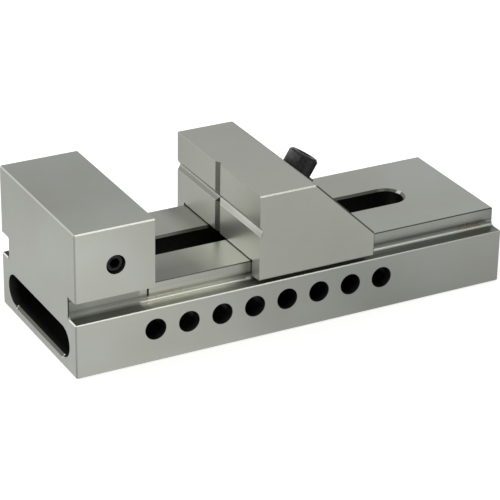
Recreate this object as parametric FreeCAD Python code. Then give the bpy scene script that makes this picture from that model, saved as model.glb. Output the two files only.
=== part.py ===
import FreeCAD, Part
from FreeCAD import Vector
import math
import os

os.makedirs("parts", exist_ok=True)

# Driving dimensions of the vise, in millimetres and degrees.
# X runs along the body from the fixed jaw to the free end, Y across it, Z up from the base.
length = 194.0
width = 73.0
height = 61.6
ledge_z = 23.25
bed_z = 30.9
overhang_z = 32.6
groove_depth = 6.9
rail_fillet = 1.8
edge_break = 0.5
bed_break = 0.35
relief_width = 1.0
relief_deep = 5.5
fixed_len = 33.8

# The movable jaw, standing open by this much.
opening = 45.7
jaw_top_len = 25.2
jaw_base_len = 52.9
slope_foot_z = 35.0
skirt_z = 24.9
slide_gap = 0.05
saddle_break = 0.4
saddle_relief = 0.8
vee_width = 4.4
vee_angle = 120.0
vee_z = 46.4

# The slot in the bed and the channel under it.
slot_width = 14.0
slot_chamfer = 1.0
slot_first = 7.8
slot_last = 34.1
channel_z = 15.5
channel_half = 22.0
channel_first = 24.0
channel_last = 15.0
under_slot_z = 24.0

# The cross holes through both side walls.
hole_count = 8
hole_first = 34.0
hole_pitch = 14.6
hole_z = 14.2
hole_d = 9.1

# The clamping pocket in the end face.
pocket_len = 60.8
pocket_high = 13.5
pocket_z = 11.2
pocket_deep = 12.0
pocket_chamfer = 1.1

# The clamp screw, its washers and the cross nut.
tilt = 32.0
seat_along = 0.383
head_sink = 0.1
screw_d = 8.0
head_d = 13.0
head_high = 8.0
head_break = 0.9
head_socket = 6.0
washer_d = 17.0
washer_high = 3.2
sphere_r = 12.0
seat_high = 3.5
seat_gap = 0.1
bore_gap = 0.4
passage_half = 4.5
swing = 4.0
trunnion_d = 8.8
trunnion_half = 21.0
hub_d = 12.0
hub_half = 6.6
nut_drop = 2.6

# The keeper plate and its two screws.
tongue_len = 10.9
tongue_gap = 0.05
keeper_len = 24.0
keeper_half = 21.7
keeper_high = 8.0
keeper_screw_d = 4.0
keeper_head_d = 7.0
keeper_head_high = 4.0
keeper_screw_y = 3.8
keeper_screw_len = 12.0

# The stop screw in the side of the fixed jaw.
stop_x = 17.25
stop_z = 45.9
stop_d = 8.0
stop_len = 12.0
stop_sink = 1.3
stop_socket = 4.0
thread_gap = 0.04

# Positions that follow from the sizes above.
half_l = length / 2.0
half_w = width / 2.0
x_left = -half_l
x_fixed = x_left + fixed_len
x_clamp = x_fixed + opening
x_crest = x_clamp + jaw_top_len
x_back = x_clamp + jaw_base_len
rail_half = half_w - groove_depth
slope_dx = x_back - x_crest
slope_dz = height - slope_foot_z
lean = math.radians(tilt)
axis = Vector(math.sin(lean), 0, math.cos(lean))
across = Vector(math.cos(lean), 0, -math.sin(lean))
slope_point = Vector(x_crest + seat_along * slope_dx, 0, height - seat_along * slope_dz)
under_head = slope_point - axis * head_sink
nut_z = channel_z - trunnion_d / 2.0 - nut_drop
nut_reach = (under_head.z - nut_z) / math.cos(lean)
nut_at = under_head - axis * nut_reach
screw_len = nut_reach + hub_d / 2.0 - 1.0
sphere_up = math.sqrt(sphere_r ** 2 - (screw_d / 2.0 + bore_gap) ** 2) - washer_high
pivot = under_head + axis * sphere_up


def box(x0, x1, y0, y1, z0, z1):
    return Part.makeBox(x1 - x0, y1 - y0, z1 - z0, Vector(x0, y0, z0))


def prism_y(corners, y0, y1):
    points = [Vector(x, y0, z) for x, z in corners]
    face = Part.Face(Part.makePolygon(points + [points[0]]))
    return face.extrude(Vector(0, y1 - y0, 0))


def prism_x(corners, x0, x1):
    points = [Vector(x0, y, z) for y, z in corners]
    face = Part.Face(Part.makePolygon(points + [points[0]]))
    return face.extrude(Vector(x1 - x0, 0, 0))


def rod(radius, start, end):
    way = end - start
    return Part.makeCylinder(radius, way.Length, start, way)


def cone(r0, r1, start, end):
    way = end - start
    return Part.makeCone(r0, r1, way.Length, start, way)


def turned(outline, base, way):
    # Spins a closed outline of (radius, height) points and stands it on base along way.
    points = [Vector(r, 0, h) for r, h in outline]
    face = Part.Face(Part.makePolygon(points + [points[0]]))
    solid = face.revolve(Vector(0, 0, 0), Vector(0, 0, 1), 360)
    solid.Placement = FreeCAD.Placement(base, FreeCAD.Rotation(Vector(0, 0, 1), way))
    return solid


def slot_z(x0, x1, radius, z0, z1):
    # A straight slot with round ends whose end centres are at x0 and x1.
    middle = box(x0, x1, -radius, radius, z0, z1)
    first = rod(radius, Vector(x0, 0, z0), Vector(x0, 0, z1))
    last = rod(radius, Vector(x1, 0, z0), Vector(x1, 0, z1))
    return middle.fuse([first, last])


def hexagon(across_flats, centre, up, turn, depth):
    # A hexagonal prism standing on centre along up, turned about it.
    radius = across_flats / math.sqrt(3.0)
    frame = FreeCAD.Rotation(Vector(0, 0, 1), up)
    points = []
    for i in range(6):
        a = math.radians(60.0 * i + turn)
        local = Vector(radius * math.cos(a), radius * math.sin(a), 0)
        points.append(centre + frame.multVec(local))
    face = Part.Face(Part.makePolygon(points + [points[0]]))
    return face.extrude(Vector(up).normalize() * depth)


def chamfered(shape, size, wanted):
    edges = [e for e in shape.Edges if wanted(e)]
    return shape.makeChamfer(size, edges)


def runs_along(edge, way):
    if not isinstance(edge.Curve, (Part.Line, Part.LineSegment)):
        return False
    a = edge.Vertexes[0].Point
    b = edge.Vertexes[-1].Point
    line = (b - a).normalize()
    return abs(line.dot(way)) > 0.999


def near(value, target):
    return abs(value - target) < 0.01


def make_body():
    # Outline of the ground block seen from the end, swept along its length.
    block = box(x_left, half_l, -half_w, half_w, 0, ledge_z)
    rail = box(x_left, half_l, -rail_half, rail_half, ledge_z, bed_z)
    jaw = box(x_left, x_fixed, -half_w, half_w, overhang_z, height)
    neck = box(x_left, x_fixed, -rail_half, rail_half, bed_z, overhang_z)
    solid = block.fuse([rail, neck, jaw]).removeSplitter()

    # Fillets where the rail meets the ledges on both sides.
    def rail_foot(e):
        mid = e.CenterOfMass
        return runs_along(e, Vector(1, 0, 0)) and near(mid.z, ledge_z) and near(abs(mid.y), rail_half)

    solid = solid.makeFillet(rail_fillet, [e for e in solid.Edges if rail_foot(e)])

    # The outer edges are broken; those of the clamping face and under the overhang stay sharp.
    def outer(e):
        mid = e.CenterOfMass
        on_side = near(abs(mid.y), half_w)
        sharp = near(mid.z, overhang_z) or near(mid.z, ledge_z)
        long_edge = runs_along(e, Vector(1, 0, 0)) and on_side and not sharp
        upright = runs_along(e, Vector(0, 0, 1)) and on_side and not near(mid.x, x_fixed)
        across_end = runs_along(e, Vector(0, 1, 0)) and near(abs(mid.x), half_l)
        outer_end = across_end and not near(mid.z, overhang_z)
        return long_edge or upright or outer_end

    solid = chamfered(solid, edge_break, outer)

    # The long edges of the bed and the ledges, and the groove's mouth in the end face, get less.
    def light(e):
        mid = e.CenterOfMass
        on_rail = near(abs(mid.y), rail_half)
        along = runs_along(e, Vector(1, 0, 0))
        bed_edge = along and on_rail and near(mid.z, bed_z)
        ledge_edge = along and near(abs(mid.y), half_w) and near(mid.z, ledge_z)
        mouth = runs_along(e, Vector(0, 0, 1)) and on_rail and near(mid.x, x_left)
        return bed_edge or ledge_edge or mouth

    solid = chamfered(solid, bed_break, light)

    # A grinding relief cut across the bed at the foot of the fixed jaw's clamping face.
    relief0 = x_fixed - relief_width * 0.4
    relief1 = x_fixed + relief_width * 0.6
    cuts = [box(relief0, relief1, -half_w - 1, half_w + 1, bed_z - relief_deep, overhang_z)]

    # The slot in the bed with its chamfer, and its deeper start under the fixed jaw.
    r = slot_width / 2.0
    s0 = x_fixed + slot_first
    s1 = half_l - slot_last
    cuts.append(slot_z(s0, s1, r, channel_z - 1, bed_z + 1))
    c = slot_chamfer
    for x in (s0, s1):
        cuts.append(cone(r, r + 2 * c, Vector(x, 0, bed_z - c), Vector(x, 0, bed_z + c)))
    flare = [(-r, bed_z - c), (r, bed_z - c), (r + 2 * c, bed_z + c), (-r - 2 * c, bed_z + c)]
    cuts.append(prism_x(flare, s0, s1))
    under0 = x_left + hole_first
    cuts.append(slot_z(under0, s0, r, channel_z - 1, under_slot_z))

    # The open channel underneath, with rounded inner corners.
    x0 = x_left + channel_first
    x1 = half_l - channel_last
    channel = box(x0, x1, -channel_half, channel_half, -1, channel_z)
    upright = [e for e in channel.Edges if runs_along(e, Vector(0, 0, 1))]
    cuts.append(channel.makeFillet(4.0, upright))

    # The cross holes, which leave notches above the channel.
    for i in range(hole_count):
        x = x_left + hole_first + i * hole_pitch
        bore = rod(hole_d / 2.0, Vector(x, -half_w - 1, hole_z), Vector(x, half_w + 1, hole_z))
        cuts.append(bore)

    # The round-ended pocket in the end face, chamfered along the straight of its lower lip.
    pr = pocket_high / 2.0
    py = pocket_len / 2.0 - pr
    px = x_left + pocket_deep
    cuts.append(box(x_left - 1, px, -py, py, pocket_z - pr, pocket_z + pr))
    for side in (-1, 1):
        cuts.append(rod(pr, Vector(x_left - 1, side * py, pocket_z), Vector(px, side * py, pocket_z)))
    pc = pocket_chamfer
    lip_z = pocket_z - pr
    cuts.append(prism_y([(x_left - pc, lip_z - 2 * pc), (x_left + pc, lip_z), (x_left - pc, lip_z)], -py, py))

    # The tapped hole for the stop screw in the near side.
    sx = x_left + stop_x
    sr = stop_d / 2.0 + thread_gap
    deep = stop_len + stop_sink + 8.0
    cuts.append(rod(sr, Vector(sx, -half_w - 1, stop_z), Vector(sx, -half_w + deep, stop_z)))
    tip = Vector(sx, -half_w + deep, stop_z)
    cuts.append(cone(sr, 0.4, tip, tip + Vector(0, sr * 0.58, 0)))
    return solid.cut(cuts)


def make_movable_jaw():
    side = [
        (x_clamp, skirt_z),
        (x_back, skirt_z),
        (x_back, slope_foot_z),
        (x_crest, height),
        (x_clamp, height),
    ]
    jaw = prism_y(side, -half_w, half_w)

    # The outer edges are broken; those of the clamping face stay sharp.
    def outer(e):
        mid = e.CenterOfMass
        on_side = near(abs(mid.y), half_w)
        cross = runs_along(e, Vector(0, 1, 0)) and mid.z > skirt_z + 1
        return (on_side or cross) and not near(mid.x, x_clamp)

    jaw = chamfered(jaw, edge_break, outer)

    # The saddle that straddles the rail, with reliefs in its upper corners.
    g = slide_gap
    saddle = box(x_clamp - 1, x_back + 1, -rail_half - g, rail_half + g, skirt_z - 1, bed_z + g)
    cuts = [saddle]
    for s in (-1, 1):
        y = s * (rail_half + g)
        cuts.append(rod(saddle_relief, Vector(x_clamp - 1, y, bed_z + g), Vector(x_back + 1, y, bed_z + g)))

    # The saddle's mouth is broken at both ends of the jaw.
    b = saddle_break
    roof = bed_z + g
    wall = rail_half + g
    for x, way in ((x_clamp, 1), (x_back, -1)):
        out = x - way * 0.5
        deep = x + way * (b + 0.5)
        cuts.append(prism_y([(out, roof - 0.5), (out, roof + b + 0.5), (deep, roof - 0.5)], -wall, wall))
        for s in (-1, 1):
            corner = [(out, s * (wall - 0.5)), (out, s * (wall + b + 0.5)), (deep, s * (wall - 0.5))]
            points = [Vector(px, py, skirt_z - 1) for px, py in corner]
            face = Part.Face(Part.makePolygon(points + [points[0]]))
            cuts.append(face.extrude(Vector(0, 0, roof - skirt_z + 1)))

    # The two shallow V grooves in the clamping face, one lying and one standing.
    flare = math.tan(math.radians(vee_angle / 2.0))
    vee_x = x_clamp + vee_width / 2.0 / flare
    mouth_x = x_clamp - 0.5
    v = (vee_x - mouth_x) * flare
    lying = [(mouth_x, vee_z - v), (vee_x, vee_z), (mouth_x, vee_z + v)]
    cuts.append(prism_y(lying, -half_w - 1, half_w + 1))
    standing = [Vector(mouth_x, -v, 0), Vector(vee_x, 0, 0), Vector(mouth_x, v, 0)]
    face = Part.Face(Part.makePolygon(standing + [standing[0]]))
    cuts.append(face.extrude(Vector(0, 0, height + 1)))

    # The tongue that runs in the slot.
    r = slot_width / 2.0 - tongue_gap
    t0 = tongue_x0()
    t1 = t0 + tongue_len - r
    tongue_bottom = channel_z - g
    tongue = box(t0, t1, -r, r, tongue_bottom, bed_z + 2)
    nose = rod(r, Vector(t1, 0, tongue_bottom), Vector(t1, 0, bed_z + 2))
    jaw = jaw.cut(cuts).fuse(tongue.fuse(nose)).removeSplitter()

    # The stepped seat for the washers, cut along the screw's axis, and the passage below it.
    wr = washer_d / 2.0
    low = under_head - axis * (washer_high + seat_height_below())
    seat = rod(wr + bore_gap, low, low + axis * 40)
    seat_open = rod(wr, low - axis * 0.0, low + axis * seat_high)
    ring = rod(wr + bore_gap + 1, low, low + axis * seat_high).cut(seat_open)
    seat = seat.cut(ring)
    reach = 80.0
    spread = passage_half + reach * math.tan(math.radians(swing))
    p0 = pivot + across * passage_half
    p1 = pivot - across * passage_half
    p2 = pivot - axis * reach - across * spread
    p3 = pivot - axis * reach + across * spread
    fan = prism_y([(p0.x, p0.z), (p1.x, p1.z), (p2.x, p2.z), (p3.x, p3.z)], -passage_half, passage_half)
    jaw = jaw.cut([seat, fan])

    # Tapped holes for the keeper screws.
    for s in (-1, 1):
        y = s * keeper_screw_y
        start = Vector(t1, y, tongue_bottom - 1)
        jaw = jaw.cut(rod(keeper_screw_d / 2.0, start, start + Vector(0, 0, keeper_screw_len)))
    return jaw


def seat_height_below():
    # How far the seat ring's foot lies below the washer's foot, along the axis.
    # The cone opens by 120 degrees and the dome stands off it by the small gap.
    touch_r = sphere_r * math.cos(math.radians(60.0))
    touch_down = sphere_r * math.sin(math.radians(60.0))
    rim_up = (washer_d / 2.0 - 0.6 - touch_r) * math.tan(math.radians(30.0))
    rim_below_pivot = touch_down - rim_up + seat_gap / math.cos(math.radians(30.0))
    foot_below_pivot = rim_below_pivot + seat_high
    washer_foot_below_pivot = sphere_up + washer_high
    return foot_below_pivot - washer_foot_below_pivot


def tongue_x0():
    # The tongue starts just behind the screw's passage at the bed.
    down = (pivot.z - bed_z) / math.cos(lean)
    spread = (passage_half + down * math.tan(math.radians(swing))) / math.cos(lean)
    return pivot.x - down * math.sin(lean) + spread + 0.4


def make_washer_seat():
    low = under_head - axis * (washer_high + seat_height_below())
    outer = washer_d / 2.0
    rim = outer - 0.6
    inner = screw_d / 2.0 + 2 * bore_gap
    drop = (rim - inner) * math.tan(math.radians(30.0))
    ring = [(inner, 0), (outer, 0), (outer, seat_high), (rim, seat_high), (inner, seat_high - drop)]
    return turned(ring, low, axis)


def make_spherical_washer():
    # The underside is part of a sphere about the swivel centre.
    top = -sphere_up
    bore = screw_d / 2.0 + bore_gap
    rim = washer_d / 2.0
    low_rim = -math.sqrt(sphere_r ** 2 - rim ** 2)
    low_bore = -math.sqrt(sphere_r ** 2 - bore ** 2)
    mid_r = (rim + bore) / 2.0
    mid = Vector(mid_r, 0, -math.sqrt(sphere_r ** 2 - mid_r ** 2))
    corners = [Vector(bore, 0, low_bore), Vector(bore, 0, top), Vector(rim, 0, top), Vector(rim, 0, low_rim)]
    edges = [Part.LineSegment(a, b).toShape() for a, b in zip(corners, corners[1:])]
    edges.append(Part.Arc(corners[3], mid, corners[0]).toShape())
    face = Part.Face(Part.Wire(edges))
    washer = face.revolve(Vector(0, 0, 0), Vector(0, 0, 1), 360)
    washer.Placement = FreeCAD.Placement(pivot, FreeCAD.Rotation(Vector(0, 0, 1), axis))
    return washer


def make_clamp_screw():
    shank = screw_d / 2.0
    head = head_d / 2.0
    full = screw_len + head_high
    outline = [
        (0, 0),
        (shank - 1.0, 0),
        (shank, 1.0),
        (shank, screw_len),
        (head, screw_len),
        (head, full - head_break),
        (head - head_break, full),
        (0, full),
    ]
    screw = turned(outline, under_head - axis * screw_len, axis)
    mouth = under_head + axis * head_high
    socket = hexagon(head_socket, mouth - axis * 4.0, axis, 15.0, 5.0)
    lead = cone(head_socket / 2.0 + 0.1, head_socket / 2.0 + 0.9, mouth - axis * 0.5, mouth + axis * 0.3)
    return screw.cut([socket, lead])


def make_cross_nut():
    pin = trunnion_d / 2.0
    hub = hub_d / 2.0
    half = [
        (hub, hub_half),
        (pin, hub_half),
        (pin, trunnion_half - 0.6),
        (pin - 0.6, trunnion_half),
        (0, trunnion_half),
    ]
    outline = [(r, -h) for r, h in reversed(half)] + half
    nut = turned(outline, nut_at, Vector(0, 1, 0))
    bore = rod(screw_d / 2.0 + thread_gap, nut_at - axis * hub_d, nut_at + axis * hub_d)
    return nut.cut(bore)


def keeper_centre():
    r = slot_width / 2.0 - tongue_gap
    return tongue_x0() + tongue_len - r


def keeper_top():
    return channel_z - slide_gap


def make_keeper_plate():
    x = keeper_centre()
    z1 = keeper_top()
    z0 = z1 - keeper_high
    plate = box(x - keeper_len / 2.0, x + keeper_len / 2.0, -keeper_half, keeper_half, z0, z1)
    plate = plate.makeChamfer(0.6, [e for e in plate.Edges if runs_along(e, Vector(0, 0, 1))])
    cuts = []
    for s in (-1, 1):
        y = s * keeper_screw_y
        cuts.append(rod(keeper_screw_d / 2.0 + 0.15, Vector(x, y, z0 - 1), Vector(x, y, z1 + 1)))
        cuts.append(rod(keeper_head_d / 2.0 + 0.12, Vector(x, y, z0 - 1), Vector(x, y, z0 + keeper_head_high + 0.2)))
    return plate.cut(cuts)


def make_keeper_screw(side):
    head = keeper_head_d / 2.0
    shank = keeper_screw_d / 2.0 - thread_gap / 2.0
    full = keeper_head_high + keeper_screw_len
    outline = [
        (0, 0),
        (head - 0.4, 0),
        (head, 0.4),
        (head, keeper_head_high),
        (shank, keeper_head_high),
        (shank, full),
        (0, full),
    ]
    foot = keeper_top() - keeper_high + 0.2
    base = Vector(keeper_centre(), side * keeper_screw_y, foot)
    screw = turned(outline, base, Vector(0, 0, 1))
    return screw.cut(hexagon(3.0, base - Vector(0, 0, 1), Vector(0, 0, 1), 0.0, 3.0))


def make_stop_set_screw():
    r = stop_d / 2.0
    c = 0.7
    outline = [(0, 0), (r - c, 0), (r, c), (r, stop_len - c), (r - c, stop_len), (0, stop_len)]
    face = Vector(x_left + stop_x, -half_w + stop_sink, stop_z)
    screw = turned(outline, face, Vector(0, 1, 0))
    return screw.cut(hexagon(stop_socket, face - Vector(0, 1, 0), Vector(0, 1, 0), 0.0, 5.0))


pieces = {
    "body": make_body(),
    "movable_jaw": make_movable_jaw(),
    "washer_seat": make_washer_seat(),
    "spherical_washer": make_spherical_washer(),
    "clamp_screw": make_clamp_screw(),
    "cross_nut": make_cross_nut(),
    "keeper_plate": make_keeper_plate(),
    "keeper_screw_near": make_keeper_screw(-1),
    "keeper_screw_far": make_keeper_screw(1),
    "stop_set_screw": make_stop_set_screw(),
}

for name, shape in pieces.items():
    solid = shape.Solids[0]
    solid.exportStep("parts/" + name + ".step")
    size = solid.optimalBoundingBox(False)
    print(name, solid.isValid(), len(shape.Solids), len(solid.Shells), round(solid.Volume))
    print("  x", round(size.XMin, 3), round(size.XMax, 3), "y", round(size.YMin, 3), round(size.YMax, 3))
    print("  z", round(size.ZMin, 3), round(size.ZMax, 3))
print("swivel centre", pivot, "under head", under_head, "nut", nut_at, "screw length", screw_len)
print("tongue end", tongue_x0() + tongue_len, "slot end", half_l - slot_last + slot_width / 2.0)
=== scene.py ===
"""A ground steel toolmakers vise on a pale studio floor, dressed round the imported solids."""

import math

import bmesh
import bpy
from mathutils import Matrix, Vector


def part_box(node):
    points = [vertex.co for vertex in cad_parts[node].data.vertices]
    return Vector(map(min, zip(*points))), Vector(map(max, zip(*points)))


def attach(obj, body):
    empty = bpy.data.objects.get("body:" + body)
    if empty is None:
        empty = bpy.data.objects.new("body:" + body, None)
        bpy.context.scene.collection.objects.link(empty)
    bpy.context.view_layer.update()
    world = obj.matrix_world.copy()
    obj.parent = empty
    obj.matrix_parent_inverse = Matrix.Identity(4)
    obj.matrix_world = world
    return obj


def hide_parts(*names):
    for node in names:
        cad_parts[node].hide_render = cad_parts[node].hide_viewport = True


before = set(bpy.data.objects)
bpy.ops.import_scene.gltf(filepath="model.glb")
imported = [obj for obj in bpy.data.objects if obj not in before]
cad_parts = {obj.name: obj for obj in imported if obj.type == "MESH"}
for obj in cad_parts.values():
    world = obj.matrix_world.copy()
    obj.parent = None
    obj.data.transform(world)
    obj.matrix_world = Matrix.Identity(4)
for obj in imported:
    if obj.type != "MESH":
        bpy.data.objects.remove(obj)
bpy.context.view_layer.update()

MM = 0.001

# How far a finish reaches past the face that it covers, in millimetres.
HAIR = 0.05

# Places on the block that the finishes follow, in millimetres in the frame of the solids.
BODY_LOW, BODY_HIGH = (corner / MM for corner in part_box("body"))
EDGE_BREAK = 0.5
BED_Z = 30.9
BED_BREAK = 0.35
RAIL_HALF = 29.6
LEDGE_Z = 23.25
OVERHANG_Z = 32.6
FIXED_LEN = 33.8
FIXED_FACE_X = BODY_LOW.x + FIXED_LEN
RELIEF_X = -63.1
RELIEF_HALF = 0.5
RELIEF_DEEP = 5.5
SLOT_HALF = 7.0
SLOT_CHAMFER = 1.0
SLOT_X = (-70.2, 70.1)
SLOT_ROUND_X = 67.6
CHANNEL_HALF = 22.0
CHANNEL_Z = 15.5
CHANNEL_X = (-73.0, 82.0)
HOLE_FIRST = -63.0
HOLE_PITCH = 14.6
HOLE_COUNT = 8
HOLE_Z = 14.2
HOLE_R = 4.55
HOLE_BREAK = 0.28
POCKET_X = -85.0
POCKET_HALF = 30.4
POCKET_Z = (4.45, 17.95)
POCKET_CHAMFER = 1.1
POCKET_LIP_HALF = 22.7
STOP_X, STOP_Z = -79.75, 45.9
STOP_R = 4.0

# Places on the movable jaw.
JAW_LOW, JAW_HIGH = (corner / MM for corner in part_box("movable_jaw"))
VEE_Z = 46.4
VEE_HALF = 2.2
VEE_DEEP = 1.27
SLOPE_FOOT_Z = 35.0
SLOPE_RUN, SLOPE_DROP = 27.7, 26.6
SLOPE_FALL = math.hypot(SLOPE_RUN, SLOPE_DROP)
SLOPE_NORMAL = (SLOPE_DROP / SLOPE_FALL, SLOPE_RUN / SLOPE_FALL)
SLOPE_LEVEL = SLOPE_NORMAL[0] * JAW_HIGH.x + SLOPE_NORMAL[1] * SLOPE_FOOT_Z
SADDLE_BREAK = 0.4
SADDLE_RELIEF_R = 0.8

# The round seat and the oblong passage under it. Along the screw the seat lies below the pivot
# that the domed washer rocks about, and sideways both are measured from the screw's line.
WASHER_PIVOT_X, WASHER_PIVOT_Z = 22.48, 58.08
SEAT_R = 9.0
SEAT_TOP = -6.0
SEAT_FOOT_Z = 36.0
PASSAGE_HALF = 4.5
PASSAGE_SIDE = 7.2
PASSAGE_TOP_Z = 50.0
PASSAGE_X = (-8.0, 20.0)

# The clamp screw, in millimetres, and its lean from the upright.
TILT = math.radians(32.0)
SCREW_AXIS = Vector((math.sin(TILT), 0.0, math.cos(TILT)))
UNDER_HEAD = Vector((18.256, 0.0, 51.327))
SCREW_LEN = 55.5
SHANK_R = 4.0
TIP_CHAMFER = 1.0
THREAD_LEN = 28.0
THREAD_PITCH = 1.25
THREAD_CREST = 0.16
THREAD_ROOT = (0.55, 0.86)
THREAD_ROOT_R = 3.3
THREAD_FACETS = 32
THREAD_OVERLAP = 0.3
RUN_OUT_LEN = 1.5
RUN_OUT_RISE = 0.45


def linear(hex_colour):
    """An sRGB hex colour as linear RGBA."""
    parts = [int(hex_colour[i : i + 2], 16) / 255 for i in (1, 3, 5)]
    flat = [p / 12.92 if p <= 0.04045 else ((p + 0.055) / 1.055) ** 2.4 for p in parts]
    return (*flat, 1.0)


def add(tree, kind, links=None, **settings):
    """Adds a node: links and inputs name its inputs, and all other settings its attributes."""
    node = tree.nodes.new(kind)
    inputs = settings.pop("inputs", {})
    for name, value in settings.items():
        setattr(node, name, value)
    for name, value in inputs.items():
        node.inputs[name].default_value = value
    for name, source in (links or {}).items():
        tree.links.new(getattr(source, "socket", source), node.inputs[name])
    return node


class Reading:
    """A number that changes over a surface. Sums and comparisons with it give new readings."""

    def __init__(self, tree, socket):
        self.tree = tree
        self.socket = socket

    def reckon(self, operation, *terms):
        """Works a new reading out from readings and plain numbers."""
        links = {i: term for i, term in enumerate(terms) if isinstance(term, Reading)}
        inputs = {i: term for i, term in enumerate(terms) if not isinstance(term, Reading)}
        node = add(self.tree, "ShaderNodeMath", links, operation=operation, inputs=inputs)
        return Reading(self.tree, node.outputs[0])

    def __add__(self, other):
        return self.reckon("ADD", self, other)

    def __sub__(self, other):
        return self.reckon("SUBTRACT", self, other)

    def __rsub__(self, other):
        return self.reckon("SUBTRACT", other, self)

    def __mul__(self, other):
        return self.reckon("MULTIPLY", self, other)

    def __lt__(self, limit):
        return self.reckon("LESS_THAN", self, limit)

    def __gt__(self, limit):
        return self.reckon("GREATER_THAN", self, limit)

    def __abs__(self):
        return self.reckon("ABSOLUTE", self)

    def fade(self, places, levels, smooth=False):
        """Runs from one level to another between two places, and stays level beyond them."""
        names = ("From Min", "From Max", "To Min", "To Max")
        node = add(
            self.tree,
            "ShaderNodeMapRange",
            {"Value": self},
            interpolation_type="SMOOTHSTEP" if smooth else "LINEAR",
            inputs=dict(zip(names, (*places, *levels))),
        )
        return Reading(self.tree, node.outputs[0])


def place_in_mm(tree):
    """Where a shaded point lies in the frame of the solids, in millimetres."""
    where = add(tree, "ShaderNodeTexCoord")
    scaled = add(
        tree,
        "ShaderNodeVectorMath",
        {0: where.outputs["Object"]},
        operation="SCALE",
        inputs={"Scale": 1 / MM},
    )
    return scaled.outputs[0]


class Spot:
    """Where a shaded point lies on the vise, in millimetres, and which way its face looks."""

    def __init__(self, tree):
        self.mm = place_in_mm(tree)
        place = add(tree, "ShaderNodeSeparateXYZ", {0: self.mm})
        self.x, self.y, self.z = (Reading(tree, axis) for axis in place.outputs)
        self.across = abs(self.y)
        face = add(tree, "ShaderNodeNewGeometry")
        way = add(tree, "ShaderNodeSeparateXYZ", {0: face.outputs["True Normal"]})
        self.facing_x, self.facing_y, self.facing_z = (Reading(tree, axis) for axis in way.outputs)
        self.up = self.facing_z > 0.9


def between(value, low, high):
    """1 where a reading lies between two limits."""
    return (value > low) * (value < high)


def near(value, place, reach=HAIR):
    """1 within a short reach of a place."""
    return between(value, place - reach, place + reach)


def either(first, *others):
    """The strongest of some masks."""
    strongest = first
    for other in others:
        strongest = first.reckon("MAXIMUM", strongest, other)
    return strongest


def distance(first, second):
    """How far a point is from an axis, from its two offsets square to it."""
    return first.reckon("SQRT", first * first + second * second)


def scale_and_depth_shade(depth):
    """0 outside a hole, 0.7 at its mouth and 1 from 4 mm down: the hole's own scale, darkened with depth by
    painted shade.
    """
    return (depth > 0.0) * depth.fade((0.0, 4.0), (0.7, 1.0))


def cleared(owner):
    """The node tree of a material or a world, with nothing in it."""
    owner.use_nodes = True
    owner.node_tree.nodes.clear()
    return owner.node_tree


def new_material(name):
    """A material with a Principled surface alone."""
    material = bpy.data.materials.new(name)
    tree = cleared(material)
    surface = add(tree, "ShaderNodeBsdfPrincipled")
    add(tree, "ShaderNodeOutputMaterial", {"Surface": surface.outputs["BSDF"]})
    return material, tree, surface


def colours(ramp, low, high, places=(0.0, 1.0)):
    """Gives a colour ramp its two colours."""
    for element, place, colour in zip(ramp.color_ramp.elements, places, (low, high)):
        element.position = place
        element.color = linear(colour)


def body_cavities(at):
    """1 on the walls that are left as hardened: slot, channel, cross holes, pocket, tapped hole. In the
    holes and the pocket it grows with depth, as painted shade.
    """
    slot = (
        (at.across < SLOT_HALF + 0.08)
        * (at.z < BED_Z - SLOT_CHAMFER + 0.02)
        * between(at.x, *SLOT_X)
    )
    channel = (
        (at.across < CHANNEL_HALF + 0.1)
        * (at.z < CHANNEL_Z + 0.1)
        * between(at.x, CHANNEL_X[0] - 0.1, CHANNEL_X[1] + 0.1)
    )
    half_pitch = HOLE_PITCH / 2
    last = HOLE_FIRST + (HOLE_COUNT - 1) * HOLE_PITCH
    from_hole = at.x.reckon("WRAP", at.x - HOLE_FIRST, half_pitch, -half_pitch)
    holes = (
        (distance(from_hole, at.z - HOLE_Z) < HOLE_R + 0.08)
        * scale_and_depth_shade(BODY_HIGH.y - HOLE_BREAK - at.across)
        * between(at.x, HOLE_FIRST - half_pitch, last + half_pitch)
    )
    pocket = (
        scale_and_depth_shade(at.x - (BODY_LOW.x + 0.02))
        * (at.x < POCKET_X + 0.1)
        * (at.across < POCKET_HALF + 0.1)
        * between(at.z, POCKET_Z[0] - 0.02, POCKET_Z[1] + 0.1)
    )
    # The tapped hole was cut last, so its wall is bare under the oil.
    stop = (
        (distance(at.x - STOP_X, at.z - STOP_Z) < STOP_R + 0.12)
        * between(at.y, BODY_LOW.y + 0.3, 0.0)
        * 0.6
    )
    return either(slot, channel, holes, pocket, stop)


def slot_edges(at):
    """1 on the slot's milled chamfer. Round the slot's end it is dark too, but for one lighter spot, a
    painted glint."""
    chamfer = (at.across < SLOT_HALF + SLOT_CHAMFER + HAIR) * between(
        at.z, BED_Z - SLOT_CHAMFER - HAIR, BED_Z - 0.02
    )
    # A painted glint: one lighter spot on the round end's chamfer.
    painted_glint = between(at.y, 1.0, 3.2) * 0.6
    straight = chamfer * between(at.x, SLOT_X[0] + 0.2, SLOT_ROUND_X)
    round_end = chamfer * between(at.x, SLOT_ROUND_X, SLOT_X[1] + SLOT_CHAMFER) * (0.95 - painted_glint)
    return either(straight, round_end)


def under_overhang(at):
    """1 in the groove under the fixed jaw, beside the ground rail: the steel there is rougher, and painted
    shade darkens it.
    """
    return (
        between(at.across, RAIL_HALF - 0.4, BODY_HIGH.y - 0.4)
        * between(at.z, LEDGE_Z - HAIR, OVERHANG_Z + 0.03)
        * between(at.x, BODY_LOW.x + HAIR, FIXED_FACE_X - 3.5)
    )


def groove_painted_shade(at):
    """How much painted shade darkens the groove under the fixed jaw: a little on the wall, more near its end
    in the block's end face, and more on the ledge, most of all on the far one."""
    # Painted shade under the fixed jaw's overhang.
    end = at.x.fade((-96.0, -88.0), (0.37, 0.05))
    ledge = (at.z < LEDGE_Z + HAIR) * ((at.y > 0.0) * 0.35 + 0.3)
    return under_overhang(at) * (ledge + end)


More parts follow.
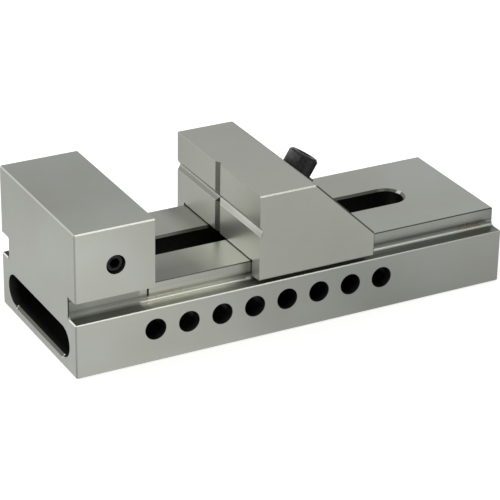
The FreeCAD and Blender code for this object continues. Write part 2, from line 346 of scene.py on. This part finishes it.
def block_milled_edges_and_shade(at):
    """1 where the block is greyer: on the edges milled before hardening and never ground (slot, pocket,
    uprights), and where dark lines and shade are painted: along the bed's edges and the groove's mouth, a
    little in the relief slot, and in the groove under the fixed jaw.
    """
    # A painted dark line along the bed's edges, standing for a dark reflection in their chamfers.
    painted_bed_line = (
        (at.across + at.z > RAIL_HALF + BED_Z - BED_BREAK - 0.03)
        * between(at.across, RAIL_HALF - 0.5, RAIL_HALF + HAIR)
        * (at.z < BED_Z + HAIR)
    )
    pocket = (
        between(at.x, BODY_LOW.x + 0.03, BODY_LOW.x + POCKET_CHAMFER)
        * (at.across < POCKET_LIP_HALF)
        * between(at.z, POCKET_Z[0] - POCKET_CHAMFER - 0.1, POCKET_Z[0] - 0.02)
    )
    # The groove's edge in the end face is hardly broken, and a dark line is painted along it.
    painted_mouth_line = (
        (at.x < BODY_LOW.x + EDGE_BREAK)
        * between(at.across, RAIL_HALF - 0.45, RAIL_HALF + HAIR)
        * between(at.z, LEDGE_Z - 0.3, OVERHANG_Z + 0.3)
    )
    # Painted shade: the relief slot is a little darker.
    relief = (
        near(at.x, RELIEF_X, RELIEF_HALF + 0.02)
        * between(at.z, BED_Z - RELIEF_DEEP - HAIR, OVERHANG_Z - 0.02)
        * (at.across < RAIL_HALF - 0.02)
    )
    corner = BODY_HIGH.x + BODY_HIGH.y - EDGE_BREAK - 0.04
    upright = (abs(at.x) + at.across > corner) * (at.z < BODY_HIGH.z - 0.4)
    top_left = (at.x < BODY_LOW.x + EDGE_BREAK) * (at.z > BODY_HIGH.z - EDGE_BREAK)
    faint = either(upright, top_left) * 0.4
    return either(slot_edges(at), painted_bed_line, pocket, painted_mouth_line, faint, groove_painted_shade(at), relief * 0.2)


def painted_bed_shade(at):
    """How much darker painted shade makes the bed between the jaws: its near half on the left, thickest
    along the near edge, and its far half where the movable jaw stands."""
    left = at.x.fade((-42.0, -27.0), (0.46, -0.2), smooth=True)
    near_half = (at.y < 0.0) * at.y.fade((-8.0, -22.0), (0.45, 1.0)) * left
    far_half = (at.y > 0.0) * at.x.fade((-33.0, -22.0), (0.0, 0.48), smooth=True)
    return near(at.z, BED_Z) * (near_half + far_half) * before_movable_jaw(at)


def before_movable_jaw(at):
    """1 in front of the movable jaw and 0 behind it: how far the painted shade beside the jaw reaches."""
    return at.x.fade((-18.0, 25.0), (1.0, 0.0), smooth=True)


def block_tops_painted_light(at):
    """How light the block's tops are painted: brighter to the right, with a painted highlight on the fixed
    jaw's near edge, and the ledges darker with painted shade to the right and beside the rail."""
    along = at.x.fade((-95.0, 90.0), (0.88, 1.16))
    jaw_top = (at.z > 60.0) * at.y.fade((-36.0, -8.0), (0.14, 0.0))
    ledge = (at.z < LEDGE_Z + 0.1) * (at.x > FIXED_FACE_X)
    # Painted shade on the ledges, darker to the right.
    film_and_painted_shade = ledge * at.x.fade((-50.0, 60.0), (0.2, -0.5))
    beside_rail = ledge * at.across.fade((30.5, 35.3), (-0.52, 0.0))
    return along * (1.0 - painted_bed_shade(at) + jaw_top + film_and_painted_shade) * (beside_rail + 1.0)


def rail_foot(at):
    """How much lighter the foot of the near rail wall is: a painted highlight, bright on the left and less
    so under the fixed jaw, where painted shade takes it down, with a thin line of rust, and a painted
    highlight on its fillet on the right too."""
    foot = between(at.y, -RAIL_HALF - 2.0, -RAIL_HALF + 0.2) * (at.z < BED_Z - 0.6)
    # A painted highlight along the wall's foot.
    low = at.z.fade((28.3, 24.6), (0.0, 1.05)) * at.z.fade((23.8, 24.25), (0.15, 1.15))
    left = at.x.fade((-34.0, -21.0), (1.0, 0.0), smooth=True)
    under_jaw_shade = (at.x < FIXED_FACE_X) * -0.75 + 1.0
    rust_line = between(at.z, 25.75, 26.25) * -0.3
    fillet_highlight = between(at.z, LEDGE_Z + 0.5, LEDGE_Z + 1.2) * (at.x > -20.0) * 0.55
    return foot * (low * left * under_jaw_shade + rust_line + fillet_highlight)


def rail_wall(at):
    """How much darker the near rail wall is painted: a painted dark reflection of the movable jaw just in
    front of it, and painted shade at its right end."""
    wall = between(at.y, -RAIL_HALF - 0.9, -RAIL_HALF + 0.2) * between(at.z, LEDGE_Z + 0.6, BED_Z - 0.3)
    jaw_reflection = at.x.fade((-24.0, -19.0), (0.0, -0.5), smooth=True) * before_movable_jaw(at)
    right_end_shade = at.x.fade((84.0, 96.0), (0.0, -0.3))
    return wall * (jaw_reflection + right_end_shade)


def block_painted_light(at):
    """How light the block's steel is painted, from 1 on a plain face: painted light and shade on the tops
    and the rail's foot and wall. The relief in front of the fixed jaw is painted bright down to its floor."""
    # Painted light in the relief slot.
    relief = near(at.x, RELIEF_X, RELIEF_HALF + HAIR) * between(
        at.z, BED_Z - RELIEF_DEEP - HAIR, BED_Z + 0.03
    )
    tops = at.up * (block_tops_painted_light(at) - 1.0)
    return tops + rail_foot(at) + rail_wall(at) + relief + 1.0


def block_rust(at):
    """1 where light rust and dried oil have set in the foot of the near rail wall."""
    foot = between(at.y, -RAIL_HALF - 1.5, -RAIL_HALF + 0.2) * between(at.z, LEDGE_Z + 0.6, LEDGE_Z + 3.2)
    left = between(at.x, -64.0, -48.0) * 0.35
    right = between(at.x, 79.0, 91.0)
    return foot * either(left, right)


def jaw_cavities(at):
    """1 in the clamp screw's leaning passage and the saddle's corner reliefs, and on the saddle's mouth,
    painted near black as the shadow line along the jaw's foot.
    """
    dx = at.x - WASHER_PIVOT_X
    dz = at.z - WASHER_PIVOT_Z
    side = dx * math.cos(TILT) - dz * math.sin(TILT)
    along = dx * math.sin(TILT) + dz * math.cos(TILT)
    seat = (distance(side, at.y) < SEAT_R) * (along < SEAT_TOP) * (at.z > SEAT_FOOT_Z)
    passage = (
        (at.across < PASSAGE_HALF + 0.1)
        * (abs(side) < PASSAGE_SIDE)
        * between(at.z, JAW_LOW.z - 1.0, PASSAGE_TOP_Z)
        * between(at.x, *PASSAGE_X)
    )
    roof = BED_Z + HAIR
    wall = RAIL_HALF + HAIR
    relief = (distance(at.across - wall, at.z - roof) < SADDLE_RELIEF_R + 0.06) * between(
        at.x, JAW_LOW.x + 0.02, JAW_HIGH.x - 0.02
    )
    # The mouth: a painted shadow line where the jaw stands on the bed.
    painted_mouth_line = (
        (at.across < wall + SADDLE_BREAK + HAIR)
        * (at.z < roof + SADDLE_BREAK + HAIR)
        * between(at.x, JAW_LOW.x + 0.02, JAW_LOW.x + SADDLE_BREAK + 0.02)
    )
    return either(seat, passage, relief, painted_mouth_line)


def jaw_vees(at):
    """How grey the V grooves in the clamping face are: the lower flank of the lying one is greyer, more in
    its far half and less towards the near end, and the standing one is painted darker to its foot, as shade."""
    in_face = between(at.x, JAW_LOW.x + 0.03, JAW_LOW.x + VEE_DEEP + 0.1)
    flank = in_face * between(at.z, VEE_Z - VEE_HALF, VEE_Z - 0.1)
    middle = between(at.z, VEE_Z - 1.7, VEE_Z - 0.8) * 0.08
    far_half = (at.y > 0.0) * 0.32
    toward_near_end = at.y.fade((-26.0, -8.0), (0.3, 0.0))
    lying = flank * (far_half + middle + 0.44 - toward_near_end)
    # Painted shade at the foot of the standing V.
    standing = in_face * (at.across < VEE_HALF) * at.z.fade((32.0, 42.5), (0.85, 0.0))
    return either(lying, standing)


def jaw_milled_edges_and_shade(at):
    """1 on the edges of the sloped back and the upright back, faint in the V grooves, with painted shade at
    the foot of the standing one.
    """
    under_slope = SLOPE_LEVEL - (at.x * SLOPE_NORMAL[0] + at.z * SLOPE_NORMAL[1])
    in_from_side = JAW_HIGH.y - at.across
    in_from_back = JAW_HIGH.x - at.x
    slope_edge = (under_slope + in_from_side < 0.62) * (at.z < JAW_HIGH.z - 0.3)
    back_edge = in_from_back + in_from_side < EDGE_BREAK + 0.04
    return either(either(slope_edge, back_edge) * 0.8, jaw_vees(at))


def jaw_dull(at):
    """A little on the movable jaw's clamping face, which was ground with the wheel's side."""
    return (at.facing_x < -0.9) * 0.2


def jaw_painted_shade(at):
    """How light the jaw's steel is painted: its top and its clamping face are painted a little darker
    towards their far ends, as shade."""
    top = at.up * at.y.fade((-20.0, 36.0), (0.06, 0.15))
    clamping = (at.x < JAW_LOW.x + HAIR) * (at.z < JAW_HIGH.z - EDGE_BREAK)
    return 1.0 - (top + clamping * at.y.fade((-14.0, 35.0), (-0.06, 0.14)))


def grinding_lines(tree, at, top_across):
    """Lines along the block, and across it on the ends or on the tops of the jaw. They are about
    0.05 mm apart in the steel; drawn at 0.4 mm so that they show close up."""
    crossed = abs(at.facing_y) < 0.5 if top_across else abs(at.facing_x) > 0.5
    lengthwise = add(tree, "ShaderNodeMapping", {"Vector": at.mm}, inputs={"Scale": (0.012, 2.5, 2.5)})
    crosswise = add(tree, "ShaderNodeMapping", {"Vector": at.mm}, inputs={"Scale": (2.5, 0.012, 2.5)})
    run = add(
        tree,
        "ShaderNodeMix",
        {"Factor": crossed, 4: lengthwise.outputs[0], 5: crosswise.outputs[0]},
        data_type="VECTOR",
    )
    return add(
        tree,
        "ShaderNodeTexNoise",
        {"Vector": run.outputs[1]},
        inputs={"Scale": 1.0, "Detail": 2.0, "Roughness": 0.5},
    )


def ground_colour(tree, light, film_and_painted_shade, lines):
    """The ground faces' own colour: a slow drift between two greys under faint grinding streaks."""
    tone = add(tree, "ShaderNodeValToRGB", {"Fac": film_and_painted_shade.outputs["Fac"]})
    colours(tone, *light, places=(0.32, 0.68))
    streak = add(tree, "ShaderNodeValToRGB", {"Fac": lines.outputs["Fac"]})
    colours(streak, "#EAEAE8", "#FFFFFF", places=(0.25, 0.75))
    ground = add(
        tree,
        "ShaderNodeMix",
        {6: tone.outputs[0], 7: streak.outputs[0]},
        data_type="RGBA",
        blend_type="MULTIPLY",
        inputs={"Factor": 0.12},
    )
    return ground.outputs[2]


def lightened(tree, colour, shift):
    """Paints light and shade into a colour, making it lighter or darker. What is much lighter is a little
    warmer too, like a cream highlight.
    """
    blue = shift.reckon("MINIMUM", shift, shift * 0.74 + 0.32)
    shade = add(tree, "ShaderNodeCombineColor", {0: shift, 1: shift, 2: blue})
    wear_and_painted_light = add(
        tree,
        "ShaderNodeMix",
        {6: colour, 7: shade.outputs[0]},
        data_type="RGBA",
        blend_type="MULTIPLY",
        inputs={"Factor": 1.0},
    )
    return wear_and_painted_light.outputs[2]


def covered(tree, colour, mask, cover):
    """Lays a plain colour over another one where a mask says."""
    laid = add(
        tree,
        "ShaderNodeMix",
        {"Factor": mask, 6: colour},
        data_type="RGBA",
        inputs={7: linear(cover)},
    )
    return laid.outputs[2]


def dent(tree, surface, pattern, strength, depth):
    """Presses a pattern a little into a surface."""
    relief = add(
        tree,
        "ShaderNodeBump",
        {"Height": pattern.outputs["Fac"]},
        inputs={"Strength": strength, "Distance": depth},
    )
    tree.links.new(relief.outputs[0], surface.inputs["Normal"])


def ground_tool_steel(name, light, metal, top_across, cavities, grey_edges_and_shade, dull, painted_light_shift, rust=None):
    """Hardened tool steel, surface ground: satin, faintly streaked along the grinding, greyer on edges that
    were milled before hardening and near black where no tool came back, with painted light and shade laid
    into its colour."""
    material, tree, surface = new_material(name)
    at = Spot(tree)
    dark = cavities(at)
    lines = grinding_lines(tree, at, top_across)
    # Slow change of tone over 40 mm, as oil film and wheel pressure leave it.
    film_and_painted_shade = add(
        tree,
        "ShaderNodeTexNoise",
        {"Vector": at.mm},
        inputs={"Scale": 0.022, "Detail": 3.0, "Roughness": 0.5},
    )
    # Specks of half a millimetre, in the rust and in the scale on the unground walls.
    specks = add(
        tree,
        "ShaderNodeTexNoise",
        {"Vector": at.mm},
        inputs={"Scale": 1.6, "Detail": 5.0, "Roughness": 0.7},
    )
    colour = lightened(tree, ground_colour(tree, light, film_and_painted_shade, lines), painted_light_shift(at))
    if rust:
        grains = Reading(tree, specks.outputs["Fac"]).fade((0.48, 0.6), (0.0, 0.75))
        colour = covered(tree, colour, rust(at) * grains, "#8F7439")
    # Grey on the milled edges, and as painted shade and painted dark lines where the mask says so.
    colour = covered(tree, colour, grey_edges_and_shade(at), "#4A4B45")
    # The scale that hardening leaves on the unground walls: near black, with a brown-grey mottle.
    scale = add(tree, "ShaderNodeValToRGB", {"Fac": specks.outputs["Fac"]})
    colours(scale, "#222221", "#3E3E39", places=(0.35, 0.7))
    skin = add(tree, "ShaderNodeMix", {"Factor": dark, 6: colour, 7: scale.outputs[0]}, data_type="RGBA")
    tree.links.new(skin.outputs[2], surface.inputs["Base Color"])
    surface.inputs["Metallic"].default_value = metal
    surface.inputs["Anisotropic"].default_value = 0.2

    bright_rough = Reading(tree, lines.outputs["Fac"]) * 0.03 + 0.245
    film_rough = Reading(tree, film_and_painted_shade.outputs["Fac"]) * 0.08 + bright_rough
    face_rough = dull(at) * 0.25 + film_rough
    rough = add(tree, "ShaderNodeMix", {"Factor": dark, 2: face_rough}, inputs={3: 0.42})
    tree.links.new(rough.outputs[0], surface.inputs["Roughness"])
    dent(tree, surface, lines, 0.004, 0.00002)
    return material


def black_oxide(name, base, wear_and_painted_light, rough):
    """Steel blackened in a hot salt bath: an even oily black with a faint grey mottle."""
    material, tree, surface = new_material(name)
    mottle = add(
        tree,
        "ShaderNodeTexNoise",
        {"Vector": place_in_mm(tree)},
        inputs={"Scale": 0.9, "Detail": 6.0, "Roughness": 0.65},
    )
    tone = add(tree, "ShaderNodeValToRGB", {"Fac": mottle.outputs["Fac"]})
    colours(tone, base, wear_and_painted_light, places=(0.3, 0.8))
    tree.links.new(tone.outputs[0], surface.inputs["Base Color"])
    surface.inputs["Metallic"].default_value = 0.7
    roughness = Reading(tree, mottle.outputs["Fac"]) * 0.12 + rough
    tree.links.new(roughness.socket, surface.inputs["Roughness"])
    dent(tree, surface, mottle, 0.08, 0.00004)
    return material


def machined_steel(name, feed, along):
    """Bright turned or milled steel: fine tool lines one feed apart, grey and a little oily."""
    material, tree, surface = new_material(name)
    mm = place_in_mm(tree)
    # A wave of scale 1 repeats every 2 pi / 20 units.
    lines = add(
        tree,
        "ShaderNodeTexWave",
        {"Vector": mm},
        wave_type="BANDS",
        bands_direction=along,
        inputs={"Scale": 2 * math.pi / (20.0 * feed), "Distortion": 1.2, "Detail": 2.0, "Detail Scale": 1.5},
    )
    cloud = add(tree, "ShaderNodeTexNoise", {"Vector": mm}, inputs={"Scale": 0.12, "Detail": 4.0})
    tone = add(tree, "ShaderNodeValToRGB", {"Fac": cloud.outputs["Fac"]})
    colours(tone, "#6E6E69", "#8C8C86")
    tree.links.new(tone.outputs[0], surface.inputs["Base Color"])
    surface.inputs["Metallic"].default_value = 1.0
    roughness = Reading(tree, lines.outputs["Fac"]) * 0.12 + 0.3
    tree.links.new(roughness.socket, surface.inputs["Roughness"])
    dent(tree, surface, lines, 0.15, 0.00003)
    return material


def dress(node, material):
    """Gives a solid of the frame its finish, in every slot it has."""
    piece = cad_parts[node]
    if not piece.material_slots:
        piece.data.materials.append(material)
    for slot in piece.material_slots:
        slot.material = material


def in_scene(name, data):
    """Puts a mesh, a lamp or a camera into the scene."""
    placed = bpy.data.objects.new(name, data)
    bpy.context.scene.collection.objects.link(placed)
    return placed


def cut_off(solid, z, way):
    """Cuts a shell off at a height, above it where way is 1 and below it at -1, and closes it."""
    bmesh.ops.bisect_plane(
        solid,
        geom=solid.verts[:] + solid.edges[:] + solid.faces[:],
        plane_co=(0.0, 0.0, z),
        plane_no=(0.0, 0.0, way),
        clear_outer=True,
    )
    rim = [edge for edge in solid.edges if edge.is_boundary and abs(edge.verts[0].co.z - z) < 0.001]
    bmesh.ops.holes_fill(solid, edges=rim, sides=0)


def screw_thread():
    """The clamp screw's coarse thread from its tip at Z 0, in millimetres: a flat crest an eighth
    of the pitch wide, flanks of 60 degrees and a flat root, wound up the shank and a little on."""
    thread = bmesh.new()
    outline = (
        (SHANK_R, 0.0),
        (SHANK_R, THREAD_CREST),
        (THREAD_ROOT_R, THREAD_ROOT[0]),
        (THREAD_ROOT_R, THREAD_ROOT[1]),
        (SHANK_R, THREAD_PITCH),
    )
    corners = [thread.verts.new((radius, 0.0, z - THREAD_PITCH)) for radius, z in outline]
    ridge = [thread.edges.new(pair) for pair in zip(corners, corners[1:])]
    turns = math.ceil(THREAD_LEN / THREAD_PITCH) + 2
    bmesh.ops.spin(
        thread,
        geom=corners + ridge,
        cent=(0.0, 0.0, 0.0),
        axis=(0.0, 0.0, 1.0),
        dvec=(0.0, 0.0, THREAD_PITCH / THREAD_FACETS),
        angle=2 * math.pi * turns,
        steps=THREAD_FACETS * turns,
        use_merge=False,
        use_duplicate=False,
    )
    bmesh.ops.remove_doubles(thread, verts=thread.verts, dist=0.01)
    cut_off(thread, 0.0, -1.0)
    cut_off(thread, THREAD_LEN + THREAD_OVERLAP, 1.0)
    for vert in thread.verts:
        ease_thread_end(vert)
    return thread


def ease_thread_end(vert):
    """Chamfers the thread's start, lets it run out into the shank and ends it just inside."""
    radius = math.hypot(vert.co.x, vert.co.y)
    if radius < 0.1:
        return
    start = SHANK_R - TIP_CHAMFER + vert.co.z
    run_out = THREAD_ROOT_R + (vert.co.z - THREAD_LEN + RUN_OUT_LEN) * RUN_OUT_RISE
    wanted = min(max(radius, run_out), start, SHANK_R)
    if vert.co.z > THREAD_LEN:
        wanted = SHANK_R - HAIR
    vert.co.x *= wanted / radius
    vert.co.y *= wanted / radius


def threaded_clamp_screw(material):
    """The clamp screw with its thread, which the solid leaves plain: head and shank are the
    solid's own, cut off where the thread starts."""
    tip = UNDER_HEAD - SCREW_AXIS * SCREW_LEN
    lean = Matrix.Rotation(TILT, 4, "Y")
    place = Matrix.Scale(MM, 4) @ Matrix.Translation(tip) @ lean
    screw = bmesh.new()
    screw.from_mesh(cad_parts["clamp_screw"].data)
    bmesh.ops.transform(screw, matrix=place.inverted(), verts=screw.verts)
    bmesh.ops.remove_doubles(screw, verts=screw.verts, dist=0.0005)
    cut_off(screw, THREAD_LEN, -1.0)
    thread = screw_thread()
    mesh = bpy.data.meshes.new("clamp_screw_threaded")
    thread.to_mesh(mesh)
    thread.free()
    screw.from_mesh(mesh)
    bmesh.ops.recalc_face_normals(screw, faces=screw.faces)
    for face in screw.faces:
        face.smooth = True
    for edge in screw.edges:
        edge.smooth = edge.calc_face_angle(math.pi) < math.radians(30.0)
    bmesh.ops.transform(screw, matrix=place, verts=screw.verts)
    screw.to_mesh(mesh)
    screw.free()
    mesh.materials.clear()
    mesh.materials.append(material)
    piece = in_scene("clamp_screw_threaded", mesh)
    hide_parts("clamp_screw")
    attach(piece, "screw")


def bend(curve_node, points):
    """Lays a float curve through points that start at 0 and end at 1."""
    curve = curve_node.mapping.curves[0]
    curve.points[0].location = points[0]
    curve.points[-1].location = points[-1]
    for point in points[1:-1]:
        curve.points.new(*point)
    curve_node.mapping.update()


def painted_paper_reflection(tree):
    """How strongly the paper glows in the steel's reflections alone, a painted reflection: white on the
    left, falling off to the right, and with painted shade near the block. Each curve runs over half a metre,
    with the vise in the middle."""
    where = add(tree, "ShaderNodeTexCoord")
    split = add(tree, "ShaderNodeSeparateXYZ", {0: where.outputs["Object"]})
    right, back = (Reading(tree, axis) * 2.0 + 0.5 for axis in split.outputs[:2])
    level = add(tree, "ShaderNodeFloatCurve", {"Value": right})
    level_points = (
        (0.0, 0.98),
        (0.27, 0.98),
        (0.295, 0.9),
        (0.303, 0.9),
        (0.318, 0.98),
        (0.34, 0.98),
        (0.41, 0.94),
        (0.45, 0.82),
        (0.5, 0.64),
        (0.55, 0.565),
        (0.59, 0.475),
        (0.62, 0.49),
        (0.66, 0.53),
        (1.0, 0.48),
    )
    bend(level, level_points)
    away = add(tree, "ShaderNodeFloatCurve", {"Value": back})
    away_points = (
        (0.0, 0.99),
        (0.21, 0.97),
        (0.3, 0.83),
        (0.34, 0.79),
        (0.41, 0.73),
        (0.427, 0.72),
        (0.45, 0.65),
        (0.5, 0.63),
        (0.58, 0.6),
        (0.64, 0.62),
        (0.7, 0.585),
        (0.76, 0.53),
        (1.0, 0.51),
    )
    bend(away, away_points)
    brightest = 1.333
    return Reading(tree, level.outputs[0]) * Reading(tree, away.outputs[0]) * brightest


def matt_white_paper():
    """Matt paper that glows a little, so that it is white to the camera, and glows unevenly where the steel
    mirrors it, as a painted reflection."""
    material = bpy.data.materials.new("matt_white_paper")
    tree = cleared(material)
    paper = add(tree, "ShaderNodeBsdfDiffuse", inputs={"Color": linear("#E4E4E2")})
    ray = add(tree, "ShaderNodeLightPath")
    camera = Reading(tree, ray.outputs["Is Camera Ray"])
    transmission = Reading(tree, ray.outputs["Is Transmission Ray"])
    glossy = Reading(tree, ray.outputs["Is Glossy Ray"])
    glow = add(tree, "ShaderNodeEmission", {"Strength": either(camera, transmission) * 0.56})
    lit = add(tree, "ShaderNodeAddShader", {0: paper.outputs[0], 1: glow.outputs[0]})
    reflected_glow = add(tree, "ShaderNodeEmission", {"Strength": painted_paper_reflection(tree)})
    total = add(
        tree,
        "ShaderNodeMixShader",
        {"Fac": glossy * 0.85, 1: lit.outputs[0], 2: reflected_glow.outputs[0]},
    )
    add(tree, "ShaderNodeOutputMaterial", {"Surface": total.outputs[0]})
    return material


def studio_floor():
    """A pale floor that stays white to the camera and keeps the vise's shadow."""
    sheet = bmesh.new()
    bmesh.ops.create_grid(sheet, x_segments=1, y_segments=1, size=3.0)
    # A hair below the block, so that the two flat undersides don't share one plane.
    bmesh.ops.translate(sheet, verts=sheet.verts, vec=(0.0, 0.0, -HAIR * MM))
    mesh = bpy.data.meshes.new("studio_floor")
    sheet.to_mesh(mesh)
    sheet.free()
    mesh.materials.append(matt_white_paper())
    in_scene("studio_floor", mesh)


def studio_world():
    """White to the camera; a soft studio for everything else."""
    world = bpy.data.worlds.new("studio")
    bpy.context.scene.world = world
    tree = cleared(world)
    where = add(tree, "ShaderNodeTexCoord")
    split = add(tree, "ShaderNodeSeparateXYZ", {0: where.outputs["Generated"]})
    right, back = (Reading(tree, axis) for axis in split.outputs[:2])
    # Bright on the left, dimmer to the right, where the tops of the jaws look.
    level = add(tree, "ShaderNodeFloatCurve", {"Value": right * 0.5 + 0.5})
    bend(level, ((0.0, 1.0), (0.28, 1.0), (0.45, 0.8), (0.62, 0.6), (0.72, 0.545), (0.9, 0.35), (1.0, 0.25)))
    # Low in front of the vise the room is dark; only the side panel is there.
    front = back.fade((-0.78, -0.5), (0.14, 1.0))
    # A bright window stands far back on the left; the clamping face and the bed pass it on.
    window = (back - right).fade((0.75, 1.15), (1.04, 1.75), smooth=True)
    studio = Reading(tree, level.outputs[0]) * front * window
    tint = add(tree, "ShaderNodeCombineColor", {0: studio, 1: studio, 2: studio})
    ray = add(tree, "ShaderNodeLightPath")
    colour = covered(tree, tint.outputs[0], ray.outputs["Is Camera Ray"], "#FFFFFF")
    sky = add(tree, "ShaderNodeBackground", {"Color": colour}, inputs={"Strength": 1.0})
    add(tree, "ShaderNodeOutputWorld", {"Surface": sky.outputs[0]})


def softbox(name, place, aim, size, power):
    """A rectangular lamp that looks at a point, in metres and watts."""
    lamp = bpy.data.lights.new(name, "AREA")
    lamp.shape = "RECTANGLE"
    lamp.size, lamp.size_y = size
    lamp.energy = power
    lit = in_scene(name, lamp)
    lit.location = place
    way = Vector(aim) - Vector(place)
    lit.rotation_euler = way.to_track_quat("-Z", "Y").to_euler()


def photo_camera():
    """The camera of the photograph, solved from the vise's own corners."""
    azimuth, elevation, roll = (math.radians(a) for a in (28.344, 25.921, 0.938))
    place = Vector((-406.46, -749.35, 433.30)) * MM
    focal_pixels = 2295.18
    photo_pixels = 500
    right = Vector((math.cos(azimuth), -math.sin(azimuth), 0.0))
    back = Vector((-math.sin(azimuth), -math.cos(azimuth), 0.0)) * math.cos(elevation)
    back.z = math.sin(elevation)
    up = back.cross(right)
    turned_right = right * math.cos(roll) + up * math.sin(roll)
    turned_up = up * math.cos(roll) - right * math.sin(roll)
    data = bpy.data.cameras.new("photo_camera")
    data.sensor_width = 36.0
    data.lens = focal_pixels / photo_pixels * data.sensor_width
    camera = in_scene("photo_camera", data)
    basis = Matrix((turned_right, turned_up, back)).transposed().to_4x4()
    camera.matrix_world = Matrix.Translation(place) @ basis
    bpy.context.scene.camera = camera


block_steel = ground_tool_steel(
    "ground_tool_steel_block",
    light=("#B5B6AD", "#BCBFB8"),
    metal=0.95,
    top_across=False,
    cavities=body_cavities,
    grey_edges_and_shade=block_milled_edges_and_shade,
    dull=under_overhang,
    painted_light_shift=block_painted_light,
    rust=block_rust,
)
jaw_steel = ground_tool_steel(
    "ground_tool_steel_jaw",
    light=("#BFC0B6", "#C6C9C0"),
    metal=0.72,
    top_across=True,
    cavities=jaw_cavities,
    grey_edges_and_shade=jaw_milled_edges_and_shade,
    dull=jaw_dull,
    painted_light_shift=jaw_painted_shade,
)
screw_black = black_oxide("black_oxide_screw_steel", "#262627", "#454546", rough=0.2)
stop_black = black_oxide("black_oxide_set_screw_steel", "#1E1E1E", "#303030", rough=0.34)
washer_black = black_oxide("black_oxide_washer_steel", "#2A2A2A", "#4A4A48", rough=0.34)
turned = machined_steel("turned_bar_steel", feed=0.5, along="Y")
milled = machined_steel("milled_plate_steel", feed=0.8, along="X")

dress("body", block_steel)
dress("movable_jaw", jaw_steel)
dress("washer_seat", washer_black)
dress("spherical_washer", washer_black)
dress("clamp_screw", screw_black)
threaded_clamp_screw(screw_black)
dress("cross_nut", turned)
dress("keeper_plate", milled)
dress("keeper_screw_near", screw_black)
dress("keeper_screw_far", screw_black)
dress("stop_set_screw", stop_black)

studio_floor()
studio_world()
softbox("front_softbox", (0.27, -0.55, 0.95), aim=(0.27, 0.0, 0.03), size=(0.56, 0.26), power=1.15)
softbox("side_panel", (-0.02, -0.75, 0.42), aim=(0.02, 0.0, 0.03), size=(0.52, 0.5), power=0.54)
photo_camera()
bpy.context.scene.view_settings.view_transform = "Standard"
